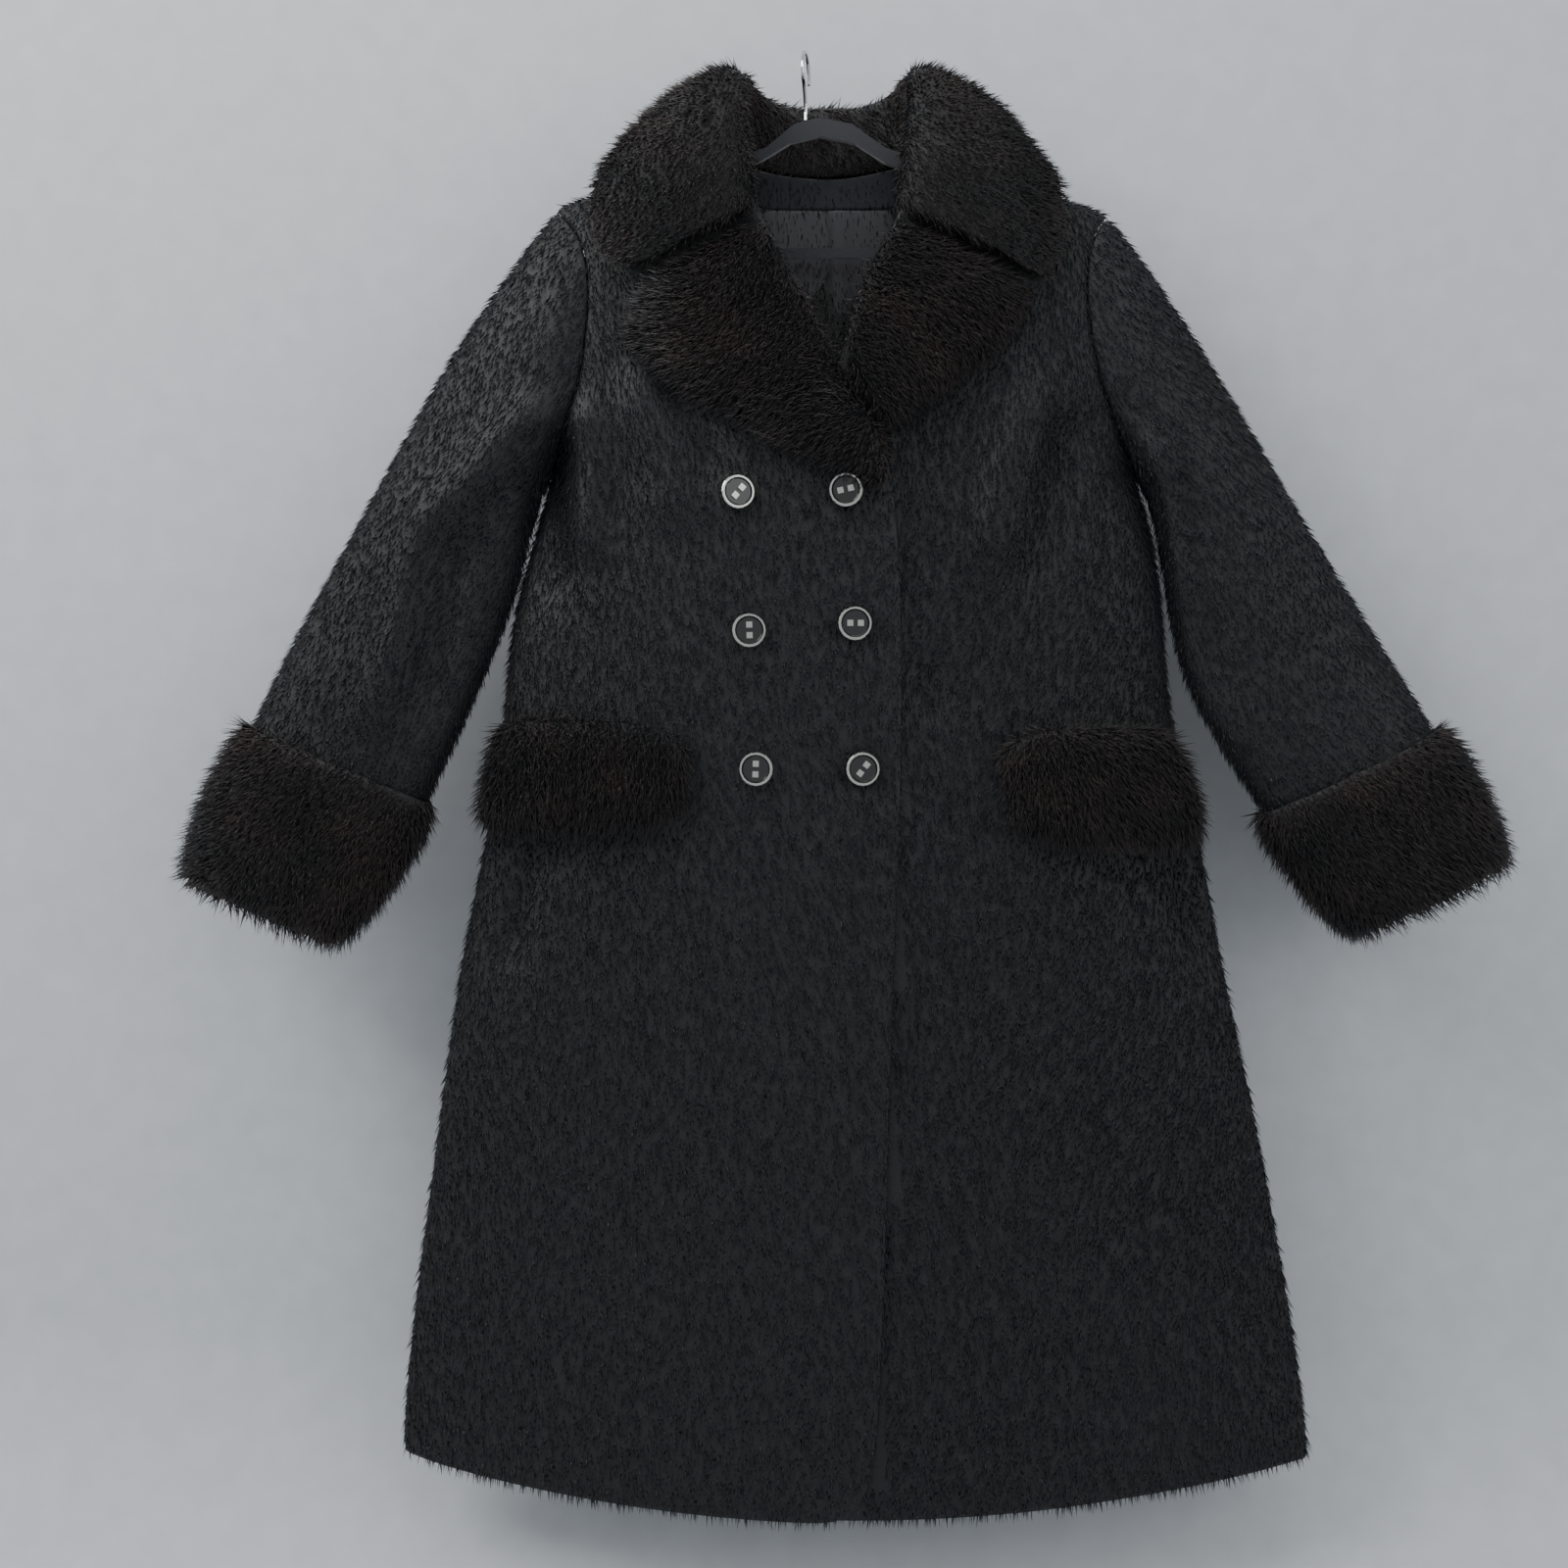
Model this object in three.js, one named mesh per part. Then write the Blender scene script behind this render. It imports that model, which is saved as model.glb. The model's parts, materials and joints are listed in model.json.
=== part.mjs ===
// A double-breasted faux fur coat hanging on a flocked hanger.
// Millimetres, +Z up, the coat's front faces -Y, the origin is where the hook bears on its rail.
// Right and left in the names are the wearer's, so "right" lies on the -X side.

import * as THREE from 'three';

// ---- driving dimensions ----

const SEAM_GAP = 0.3;          // between two pieces that are sewn together
const REST_GAP = 0.5;          // between a piece and the panel that it lies on
const FUR_CLOTH = 5;           // backing and short pile of the body cloth
const COLLAR_THICK = 9;        // collar cloth with its longer pile
const CUFF_THICK = 11;         // cuff cloth with its longer pile
const LINING_THICK = 1.2;
const ARM_GAP = 0.8;           // sideways between an armhole and its sleeve
const UNDERLAP_GAP = 1.2;      // between the two fronts where they overlap
const UNDERLAP_FLAT = 50;      // how far past the top edge the lower front stays back
const UNDERLAP_FADE = 110;     // and where it has come forward again
const SHOULDER_ROLL = 60;      // how far below the shoulder line the cloth has turned to vertical
const SECTION_POWER = 2.4;     // how square the flattened sections are
const ROOF_X = 14;             // where the two shoulder slopes would meet
const ROOF_Z = -49.5;
const SHOULDER_SLOPE = 0.343;
const NECK_RIGHT_X = -66;      // where the shoulder seams meet the collar
const NECK_LEFT_X = 95;
const NECK_DIP = 13;           // how far the back neck seam dips below its ends
const HEM_LOW_X = 48;
const HEM_LOW_Z = -1142;
const HEM_RISE = 46;           // from the hem's lowest point up to the side seams
const HEM_HALF = 354;
const BREAK_Z = -322;          // where the right lapel starts to roll
const UNDERARM_Z = -330;
const ARM_STEPS = 10;          // rows of cloth up each armhole
const BODY_STEPS = 12;         // rows from the hem to the underarm
const FRONT_STEPS = 10;        // columns across a front
const SHOULDER_STEPS = 5;
const NECK_STEPS = 6;

// The body's outline and half depths. Above the underarm left and right run past the armholes.
const BODY = [
  { z: -1142, right: -318, left: 398, front: 32, back: 26 },
  { z: -1092, right: -317, left: 395, front: 32, back: 26 },
  { z: -1027, right: -312.7, left: 387, front: 32, back: 26 },
  { z: -937, right: -301.5, left: 372, front: 33, back: 26 },
  { z: -816, right: -285, left: 349.5, front: 34, back: 27 },
  { z: -710, right: -270.7, left: 326, front: 36, back: 27 },
  { z: -607, right: -249.7, left: 309, front: 38, back: 28 },
  { z: -529, right: -237, left: 286, front: 41, back: 29 },
  { z: -457, right: -233, left: 282, front: 43, back: 30 },
  { z: -414, right: -222.7, left: 277.5, front: 44, back: 31 },
  { z: -367, right: -210.7, left: 270.5, front: 45, back: 32 },
  { z: -330, right: -200, left: 257.2, front: 46, back: 33 },
  { z: -294, right: -212, left: 266, front: 46, back: 34 },
  { z: -259, right: -227, left: 279, front: 46, back: 34 },
  { z: -217, right: -242, left: 289, front: 45, back: 34 },
  { z: -176, right: -250, left: 294, front: 43, back: 33 },
  { z: -122, right: -242, left: 286, front: 40, back: 31 },
  { z: -77, right: -236, left: 280, front: 36, back: 29 },
  { z: -40, right: -236, left: 280, front: 34, back: 28 },
];

// The armhole seams, seen from the front.
const ARMHOLE = [
  { z: -330, right: -200, left: 257.2 },
  { z: -294, right: -185, left: 239 },
  { z: -259, right: -174.7, left: 225 },
  { z: -221, right: -168.7, left: 217.5 },
  { z: -187, right: -166.5, left: 214.5 },
  { z: -160, right: -170, left: 217 },
  { z: -141, right: -179, left: 224.5 },
  { z: -121.5, right: -196, left: 239.2 },
];

// The right front's edge: straight to the break, then the lapel's roll line, then the neck seam.
const RIGHT_EDGE = [
  { z: -1142, x: 50 },
  { z: -1080, x: 57.7 },
  { z: -982, x: 61.5 },
  { z: -870, x: 65 },
  { z: -720, x: 69 },
  { z: -596, x: 74 },
  { z: -487, x: 75 },
  { z: -385, x: 72 },
  { z: -322, x: 63 },
  { z: -289, x: 46.5 },
  { z: -242, x: 19 },
  { z: -200, x: -3 },
  { z: -148, x: -27.7 },
  { z: -126, x: -37.5 },
  { z: -100, x: -50 },
  { z: -77, x: -66 },
];

// The left front's edge, hidden under the right front below the break.
const LEFT_EDGE = [
  { z: -1142, x: -92 },
  { z: -900, x: -84 },
  { z: -600, x: -80 },
  { z: -420, x: -79 },
  { z: -360, x: -62 },
  { z: -322, x: -32 },
  { z: -285, x: 2 },
  { z: -245, x: 25 },
  { z: -206, x: 38 },
  { z: -178, x: 49.5 },
  { z: -139, x: 69 },
  { z: -110, x: 78 },
  { z: -77, x: 95 },
];

// Sleeve sections from the armhole down: outer and inner ends and half depths.
// pull is how much of the armhole's curve the section still has.
const SLEEVE_RIGHT = [
  { outX: -219.7, outZ: -152, inX: -209, inZ: -348.7, front: 39, back: 30, pull: 0.6 },
  { outX: -249.7, outZ: -196, inX: -215, inZ: -371, front: 36, back: 30, pull: 0.3 },
  { outX: -287.2, outZ: -253.5, inX: -221.3, inZ: -401, front: 33, back: 29, pull: 0.12 },
  { outX: -321, outZ: -316, inX: -230.8, inZ: -435, front: 31, back: 28, pull: 0 },
  { outX: -355.5, outZ: -378, inX: -244.5, inZ: -471, front: 30, back: 27, pull: 0 },
  { outX: -390, outZ: -440, inX: -261.5, inZ: -511.5, front: 29, back: 27, pull: 0 },
  { outX: -414.7, outZ: -487.5, inX: -279.7, inZ: -551, front: 29, back: 27, pull: 0 },
  { outX: -432, outZ: -524, inX: -294, inZ: -582, front: 29, back: 27, pull: 0 },
  { outX: -458, outZ: -585, inX: -330.7, inZ: -639, front: 28, back: 26, pull: 0 },
  { outX: -474.7, outZ: -639.7, inX: -369.7, inZ: -686, front: 26, back: 24, pull: 0 },
];
const SLEEVE_LEFT = [
  { outX: 261.7, outZ: -157.5, inX: 270, inZ: -346.5, front: 39, back: 30, pull: 0.6 },
  { outX: 291.7, outZ: -202.5, inX: 274.5, inZ: -369, front: 36, back: 30, pull: 0.3 },
  { outX: 326.2, outZ: -258.7, inX: 280.7, inZ: -404, front: 33, back: 29, pull: 0.12 },
  { outX: 360, outZ: -316.5, inX: 286.2, inZ: -450, front: 31, back: 28, pull: 0 },
  { outX: 393.7, outZ: -373.5, inX: 298.2, inZ: -498, front: 30, back: 27, pull: 0 },
  { outX: 429, outZ: -430, inX: 318.7, inZ: -532.5, front: 29, back: 27, pull: 0 },
  { outX: 462.7, outZ: -482, inX: 339, inZ: -565.5, front: 29, back: 27, pull: 0 },
  { outX: 490, outZ: -527, inX: 357, inZ: -591, front: 29, back: 27, pull: 0 },
  { outX: 517.5, outZ: -579, inX: 393, inZ: -639, front: 28, back: 26, pull: 0 },
  { outX: 535.5, outZ: -629, inX: 432, inZ: -678.7, front: 26, back: 24, pull: 0 },
];
const CUFF_FROM = 7;           // the sleeve section that the cuff starts at
const CUFF_LIP = 7;            // how far the cuff runs past the sleeve's end

// Collar sections from a front end round to the centre back, for the right side.
// seam is on the neck seam, fold on the rolled top, mid and edge on the fall that lies outside.
const COLLAR = [
  { seamX: -36, seamY: -46, seamZ: -134, foldX: -45, foldY: -58, foldZ: -139, midX: -72, midY: -60, midZ: -152,
    edgeX: -101, edgeY: -50, edgeZ: -168 },
  { seamX: -38, seamY: -43, seamZ: -116, foldX: -50, foldY: -60, foldZ: -116, midX: -94, midY: -63, midZ: -140,
    edgeX: -135, edgeY: -50, edgeZ: -180 },
  { seamX: -39, seamY: -36, seamZ: -98, foldX: -52, foldY: -57, foldZ: -84, midX: -108, midY: -62, midZ: -112,
    edgeX: -161, edgeY: -45, edgeZ: -158 },
  { seamX: -44, seamY: -24, seamZ: -82, foldX: -50, foldY: -44, foldZ: -46, midX: -112, midY: -52, midZ: -74,
    edgeX: -166, edgeY: -34, edgeZ: -122 },
  { seamX: -56, seamY: -8, seamZ: -70, foldX: -48, foldY: -20, foldZ: -18, midX: -104, midY: -26, midZ: -38,
    edgeX: -157, edgeY: -10, edgeZ: -92 },
  { seamX: -55, seamY: 9, seamZ: -73, foldX: -44, foldY: 8, foldZ: -8, midX: -92, midY: 22, midZ: -34,
    edgeX: -140, edgeY: 26, edgeZ: -98 },
  { seamX: -40, seamY: 19, seamZ: -80, foldX: -34, foldY: 28, foldZ: -12, midX: -66, midY: 44, midZ: -48,
    edgeX: -102, edgeY: 48, edgeZ: -128 },
  { seamX: -14, seamY: 23, seamZ: -85, foldX: -12, foldY: 36, foldZ: -18, midX: -24, midY: 52, midZ: -58,
    edgeX: -44, edgeY: 54, edgeZ: -142 },
  { seamX: 15, seamY: 24, seamZ: -86.5, foldX: 16, foldY: 37, foldZ: -19, midX: 16, midY: 54, midZ: -60,
    edgeX: 16, edgeY: 56, edgeZ: -146 },
];
const COLLAR_CENTRE = 15.7;
// How much wider and lower the left wing's first sections hang than the right wing's.
const LEFT_WING = [
  { wide: 28, drop: 12 },
  { wide: 15, drop: 10 },
  { wide: 3, drop: 4 },
];
const COLLAR_STEPS = 10;

// Lapels, from the break up to the notch: the roll line's points and the outer edge's.
const LAPEL_RIGHT = [
  { rollX: 56, rollZ: -309, edgeX: 62, edgeZ: -344 },
  { rollX: 45, rollZ: -289, edgeX: 36, edgeZ: -334 },
  { rollX: 29, rollZ: -262, edgeX: -12, edgeZ: -314 },
  { rollX: 14, rollZ: -235, edgeX: -62, edgeZ: -290 },
  { rollX: 1, rollZ: -208, edgeX: -106, edgeZ: -263 },
  { rollX: -12, rollZ: -184, edgeX: -133, edgeZ: -238 },
  { rollX: -22, rollZ: -164, edgeX: -138, edgeZ: -216 },
  { rollX: -34, rollZ: -140, edgeX: -102, edgeZ: -174 },
];
const LAPEL_LEFT = [
  { rollX: 57, rollZ: -290, edgeX: 62, edgeZ: -296 },
  { rollX: 38, rollZ: -262, edgeX: 84, edgeZ: -281 },
  { rollX: 27, rollZ: -239, edgeX: 122, edgeZ: -257 },
  { rollX: 37, rollZ: -207, edgeX: 152, edgeZ: -227 },
  { rollX: 49, rollZ: -180, edgeX: 167, edgeZ: -203 },
  { rollX: 58, rollZ: -162, edgeX: 165, edgeZ: -190 },
  { rollX: 69, rollZ: -140, edgeX: 158, edgeZ: -184 },
];
const LAPEL_STEPS = 6;
const LAPEL_EDGE = 5;          // thickness at the rolled rim
const LAPEL_CROWN = 12;        // and in the middle

// Pocket flaps, in the front's own sections: they wrap back round the side.
const FLAPS = [
  { name: 'flap_right', from: -0.95, to: -0.29, top: -521, bottom: -606 },
  { name: 'flap_left', from: 0.30, to: 0.88, top: -528, bottom: -617 },
];
const FLAP_STEPS = 10;
const FLAP_ROWS = 6;
const FLAP_EDGE = 6;
const FLAP_CROWN = 15;
const FLAP_GAP = 1.3;
const FACING_LOW = -113;
const FACING_RIGHT_X = -38;
const FACING_LEFT_X = 72;
const LINING_LOW = -300;

// Buttons by place, with the angle of their studs and how far each has tipped in its buttonhole.
const BUTTONS = [
  { x: -52.5, z: -349.5, studs: 50, tip: 16 },
  { x: 30, z: -348, studs: 12, tip: -6 },
  { x: -43.5, z: -453.7, studs: 92, tip: 4 },
  { x: 36.7, z: -448.5, studs: 0, tip: 3 },
  { x: -38.2, z: -558.7, studs: 88, tip: -3 },
  { x: 42.7, z: -558.7, studs: 52, tip: 4 },
];
const BUTTON_R = 10.6;
const BUTTON_THICK = 4.2;
const RIM_WIDTH = 2;
const RIM_HIGH = 2.6;
const STUD = 4.6;
const STUD_HIGH = 1.2;
const STUD_APART = 8;

// The hanger: a flat moulding with an arch, two arms and a trouser bar.
const HANGER_THICK = 5;
const ARM_DEEP = 12;
const HANGER_TIP_RIGHT = -184;
const HANGER_TIP_LEFT = 225;
const BAR_TOP = -151.5;
const BAR_DEEP = 7.5;
const HANGER_CLEAR = 3.2;      // between the arms and the cloth that rests on them
const WIRE_R = 1.4;
const HOOK_R = 15;
const HOOK_TURN = 80;          // from facing the front to edge-on

const group = new THREE.Group();

// ---- small helpers ----

const lerp = (a, b, t) => a + (b - a) * t;
const clamp = (x, low, high) => Math.min(high, Math.max(low, x));

function smooth(low, high, x) {
  const t = clamp((x - low) / (high - low), 0, 1);
  return t * t * (3 - 2 * t);
}

// A smooth function through one column of a table, read at the value of another column.
function column(rows, at, name) {
  const last = rows.length - 1;
  const slope = (i) => {
    const a = rows[Math.max(i - 1, 0)];
    const b = rows[Math.min(i + 1, last)];
    return (b[name] - a[name]) / (b[at] - a[at]);
  };
  return (x) => {
    let i = 0;
    while (i < last - 1 && x > rows[i + 1][at]) i += 1;
    const a = rows[i];
    const b = rows[i + 1];
    const span = b[at] - a[at];
    const t = clamp((x - a[at]) / span, 0, 1);
    const h = t * t * (3 - 2 * t);
    const leave = t * (1 - t) * (1 - t) * span * slope(i);
    const arrive = t * t * (t - 1) * span * slope(i + 1);
    return lerp(a[name], b[name], h) + leave + arrive;
  };
}

// ---- the body's form ----

const bodyRight = column(BODY, 'z', 'right');
const bodyLeft = column(BODY, 'z', 'left');
const bodyFront = column(BODY, 'z', 'front');
const bodyBack = column(BODY, 'z', 'back');
const rightEdge = column(RIGHT_EDGE, 'z', 'x');
const leftEdge = column(LEFT_EDGE, 'z', 'x');

// The line of the shoulders, with its hidden top rounded off inside the neck.
function ridge(x) {
  const away = Math.sqrt((x - ROOF_X) ** 2 + 25) - 5;
  return ROOF_Z - SHOULDER_SLOPE * away;
}

function hem(x) {
  const u = (x - HEM_LOW_X) / HEM_HALF;
  return HEM_LOW_Z + HEM_RISE * Math.abs(u) ** (u > 0 ? 1.5 : 1.8);
}

function across(u) {
  return Math.sqrt(Math.max(0, 1 - Math.abs(u) ** SECTION_POWER));
}

// Depth of the outer surface; facing is -1 for the front and 1 for the back.
function bodyY(facing, x, z) {
  const low = bodyRight(z);
  const high = bodyLeft(z);
  const u = (2 * x - low - high) / (high - low);
  const below = clamp((ridge(x) - z) / SHOULDER_ROLL, 0, 1);
  const roll = Math.sqrt(1 - (1 - below) ** 2);
  const deep = facing < 0 ? bodyFront(z) : bodyBack(z);
  return facing * deep * across(u) * roll;
}

// Where x lies round the flattened section at z: -1 at the right side, 1 at the left.
function toTurn(x, z) {
  const low = bodyRight(z);
  const high = bodyLeft(z);
  return Math.asin(clamp((2 * x - low - high) / (high - low), -1, 1)) / (Math.PI / 2);
}

function fromTurn(turn, z) {
  const low = bodyRight(z);
  const high = bodyLeft(z);
  return (low + high) / 2 + ((high - low) / 2) * Math.sin((turn * Math.PI) / 2);
}

// Rows of the body cloth: heights on a side seam or armhole, thick near both ends of the armhole.
function sideHeights(side) {
  const heights = [];
  const tip = ARMHOLE[ARMHOLE.length - 1][side];
  const low = side === 'right' ? -1096 : -1097;
  for (let i = 0; i < BODY_STEPS; i += 1) {
    heights.push(lerp(UNDERARM_Z, low, ((BODY_STEPS - i) / BODY_STEPS) ** 1.35));
  }
  for (let i = 0; i <= ARM_STEPS; i += 1) {
    const up = (1 - Math.cos((Math.PI * i) / ARM_STEPS)) / 2;
    heights.push(lerp(UNDERARM_Z, ridge(tip), up));
  }
  return heights;
}

function sideX(side, z) {
  const table = z > UNDERARM_Z ? ARMHOLE : BODY;
  return column(table, 'z', side)(z);
}

// Height of a point in a column of cloth that runs from the hem to the shoulder line.
const upColumn = (x, share) => lerp(hem(x), ridge(x), share);
const columnShare = (x, z) => (z - hem(x)) / (ridge(x) - hem(x));

// ---- sheets of cloth: a grid of outer points, a wall's thickness and closed rims ----

// points[i][j] runs with i across and j up, so that across x up points out of the cloth.
function normals(points, round) {
  const n = points.length;
  const m = points[0].length;
  return points.map((line, i) => line.map((p, j) => {
    const left = round ? points[(i + n - 1) % n][j] : points[Math.max(i - 1, 0)][j];
    const right = round ? points[(i + 1) % n][j] : points[Math.min(i + 1, n - 1)][j];
    const down = points[i][Math.max(j - 1, 0)];
    const up = points[i][Math.min(j + 1, m - 1)];
    const a = new THREE.Vector3().subVectors(right, left);
    const b = new THREE.Vector3().subVectors(up, down);
    return a.cross(b).normalize();
  }));
}

// thick may be a number or a function of (i, j); onSeam(i, j) keeps a rim in its seam's plane.
function inwards(points, thick, { round = false, onSeam = () => false } = {}) {
  const out = normals(points, round);
  return points.map((line, i) => line.map((p, j) => {
    const n = out[i][j].clone();
    if (onSeam(i, j)) n.setY(0).normalize();
    const t = typeof thick === 'function' ? thick(i, j) : thick;
    return p.clone().addScaledVector(n, -t);
  }));
}

function meshOf(name, vertices, triangles, colour, roughness, metalness = 0) {
  let volume = 0;
  for (let k = 0; k < triangles.length; k += 3) {
    const [a, b, c] = [0, 1, 2].map((q) => vertices[triangles[k + q]]);
    volume += a.dot(new THREE.Vector3().crossVectors(b, c));
  }
  if (volume < 0) triangles.reverse();
  const geometry = new THREE.BufferGeometry();
  geometry.setAttribute('position', new THREE.Float32BufferAttribute(vertices.flatMap((p) => p.toArray()), 3));
  geometry.setIndex(triangles);
  geometry.computeVertexNormals();
  const material = new THREE.MeshStandardMaterial({ color: colour, roughness, metalness });
  const mesh = new THREE.Mesh(geometry, material);
  mesh.name = name;
  group.add(mesh);
  return mesh;
}

function wall(name, outer, inner, colour, { round = false, roughness = 0.9 } = {}) {
  const n = outer.length;
  const m = outer[0].length;
  const vertices = [...outer.flat(), ...inner.flat()];
  const out = (i, j) => (i % n) * m + j;
  const back = (i, j) => n * m + (i % n) * m + j;
  const triangles = [];
  const quad = (a, b, c, d) => triangles.push(a, b, c, a, c, d);
  // A twisted rim is split the way that its neighbour's is: from the outer low corner.
  const rim = (a, b, c, d) => (vertices[a].z <= vertices[b].z ? quad(a, b, c, d) : quad(b, c, d, a));
  const columns = round ? n : n - 1;
  for (let i = 0; i < columns; i += 1) {
    for (let j = 0; j < m - 1; j += 1) {
      quad(out(i, j), out(i + 1, j), out(i + 1, j + 1), out(i, j + 1));
      quad(back(i, j), back(i, j + 1), back(i + 1, j + 1), back(i + 1, j));
    }
    quad(out(i, 0), back(i, 0), back(i + 1, 0), out(i + 1, 0));
    rim(out(i, m - 1), out(i + 1, m - 1), back(i + 1, m - 1), back(i, m - 1));
  }
  if (!round) {
    for (let j = 0; j < m - 1; j += 1) {
      quad(out(0, j), out(0, j + 1), back(0, j + 1), back(0, j));
      quad(out(n - 1, j), back(n - 1, j), back(n - 1, j + 1), out(n - 1, j + 1));
    }
  }
  return meshOf(name, vertices, triangles, colour, roughness);
}

// ---- fronts and back ----

const COAT = 0x08090d;
const TRIM = 0x1e1a18;
const rows = BODY_STEPS + ARM_STEPS;

function panel(rowPoints) {
  const columns = rowPoints[0].length;
  return Array.from({ length: columns }, (_, i) => rowPoints.map((row) => row[i]));
}

// How far the left front lies behind the right one where they overlap.
function underlap(x, z) {
  const edge = rightEdge(z);
  return (FUR_CLOTH + UNDERLAP_GAP) * (1 - smooth(edge + UNDERLAP_FLAT, edge + UNDERLAP_FADE, x));
}

function frontPanel(side, edge, edgeLow, neckX, edgeBreak, isUnder) {
  const seam = -SEAM_GAP / 2;
  const heights = sideHeights(side);
  const points = heights.map((sideZ, row) => {
    const edgeTop = ridge(neckX);
    const above = clamp((sideZ - UNDERARM_Z) / (heights[rows] - UNDERARM_Z), 0, 1);
    const below = clamp((sideZ - heights[0]) / (UNDERARM_Z - heights[0]), 0, 1);
    const edgeZ = row > BODY_STEPS ? lerp(edgeBreak, edgeTop, above) : lerp(edgeLow, edgeBreak, below);
    const x0 = sideX(side, sideZ);
    const x1 = edge(edgeZ);
    const share0 = row === 0 ? 0 : columnShare(x0, sideZ);
    const share1 = row === 0 ? 0 : columnShare(x1, edgeZ);
    const turn0 = toTurn(x0, sideZ);
    const turn1 = toTurn(x1, edgeZ);
    const line = [];
    for (let i = 0; i <= FRONT_STEPS; i += 1) {
      const s = i / FRONT_STEPS;
      const guess = lerp(sideZ, edgeZ, s);
      let x = fromTurn(lerp(turn0, turn1, s), guess);
      if (i === 0) x = x0;
      if (i === FRONT_STEPS) x = x1;
      const z = upColumn(x, lerp(share0, share1, s));
      const y = Math.min(bodyY(-1, x, z), 0) + (isUnder ? underlap(x, z) : 0);
      const atSide = i === 0 && row <= BODY_STEPS;
      const atShoulder = row === rows;
      line.push(new THREE.Vector3(x, atSide || atShoulder ? seam : Math.min(y, seam), z));
    }
    return side === 'right' ? line : line.reverse();
  });
  return panel(points);
}

const frontSeam = (sideColumn) => (i, j) => (i === sideColumn && j <= BODY_STEPS) || j === rows;

const rightFront = frontPanel('right', rightEdge, -1142, NECK_RIGHT_X, BREAK_Z, false);
const rightFrontInner = inwards(rightFront, FUR_CLOTH, { onSeam: frontSeam(0) });
wall('front_right', rightFront, rightFrontInner, COAT);

const leftFront = frontPanel('left', leftEdge, -1135, NECK_LEFT_X, BREAK_Z, true);
const leftFrontInner = inwards(leftFront, FUR_CLOTH, { onSeam: frontSeam(FRONT_STEPS) });
wall('front_left', leftFront, leftFrontInner, COAT);

function neckSeam(x) {
  const middle = (NECK_RIGHT_X + NECK_LEFT_X) / 2;
  const half = (NECK_LEFT_X - NECK_RIGHT_X) / 2;
  const u = clamp((x - middle) / half, -1, 1);
  return ridge(NECK_RIGHT_X) - NECK_DIP * (1 - u * u);
}

function backPanel() {
  const seam = SEAM_GAP / 2;
  const rightSide = sideHeights('right');
  const leftSide = sideHeights('left');
  const columns = 2 * SHOULDER_STEPS + NECK_STEPS;
  const stops = [0, SHOULDER_STEPS, SHOULDER_STEPS + NECK_STEPS, columns];
  const points = rightSide.map((zRight, row) => {
    const zLeft = leftSide[row];
    const xRight = sideX('right', zRight);
    const xLeft = sideX('left', zLeft);
    const shareRight = row === 0 ? 0 : columnShare(xRight, zRight);
    const shareLeft = row === 0 ? 0 : columnShare(xLeft, zLeft);
    const neckPull = (row / rows) ** 5;
    const line = [];
    for (let i = 0; i <= columns; i += 1) {
      const s = i / columns;
      const guess = lerp(zLeft, zRight, s);
      const turns = [xLeft, NECK_LEFT_X, NECK_RIGHT_X, xRight].map((x) => toTurn(x, guess));
      let part = 0;
      while (i > stops[part + 1]) part += 1;
      const t = (i - stops[part]) / (stops[part + 1] - stops[part]);
      let x = fromTurn(lerp(turns[part], turns[part + 1], t), guess);
      if (i === 0) x = xLeft;
      if (i === columns) x = xRight;
      const full = upColumn(x, lerp(shareLeft, shareRight, s));
      const inNeck = x > NECK_RIGHT_X && x < NECK_LEFT_X;
      const z = inNeck ? lerp(full, full - ridge(x) + neckSeam(x), neckPull) : full;
      const onShoulder = row === rows && !(i > stops[1] && i < stops[2]);
      const atSide = (i === 0 || i === columns) && row <= BODY_STEPS;
      const y = atSide || onShoulder ? seam : Math.max(bodyY(1, x, z), seam);
      line.push(new THREE.Vector3(x, y, z));
    }
    return line;
  });
  return panel(points);
}

const back = backPanel();
const backColumns = back.length - 1;
const neckFirst = SHOULDER_STEPS;
const neckLast = SHOULDER_STEPS + NECK_STEPS;
const backSeam = (i, j) => ((i === 0 || i === backColumns) && j <= BODY_STEPS)
  || (j === rows && (i <= neckFirst || i >= neckLast));
const backInner = inwards(back, FUR_CLOTH, { onSeam: backSeam });
wall('back', back, backInner, COAT);

// ---- sleeves, each a tube from the cuff's end up to the armhole ----

function sleeveRing(station, armhole, sign) {
  const front = [];
  const rear = [];
  const chordTop = armhole.top;
  const chordLow = armhole.low;
  for (let j = 0; j <= ARM_STEPS; j += 1) {
    const f = (1 - Math.cos((Math.PI * j) / ARM_STEPS)) / 2;
    const z = lerp(chordTop.z, chordLow.z, f);
    const bulge = sideX(armhole.side, z) - lerp(chordTop.x, chordLow.x, f);
    const x = lerp(station.outX, station.inX, f) + bulge * station.pull;
    const height = lerp(station.outZ, station.inZ, f);
    const round = across(2 * f - 1);
    front.push(new THREE.Vector3(x, -station.front * round, height));
    rear.push(new THREE.Vector3(x, station.back * round, height));
  }
  return ringOrder(front, rear, sign);
}

// Front points then rear points, so that the ring runs the same way round on both sleeves.
function ringOrder(front, rear, sign) {
  const forward = sign < 0 ? front : [...front].reverse();
  const backward = sign < 0 ? [...rear].reverse() : rear;
  return [...forward, ...backward.slice(1, -1)];
}

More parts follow.
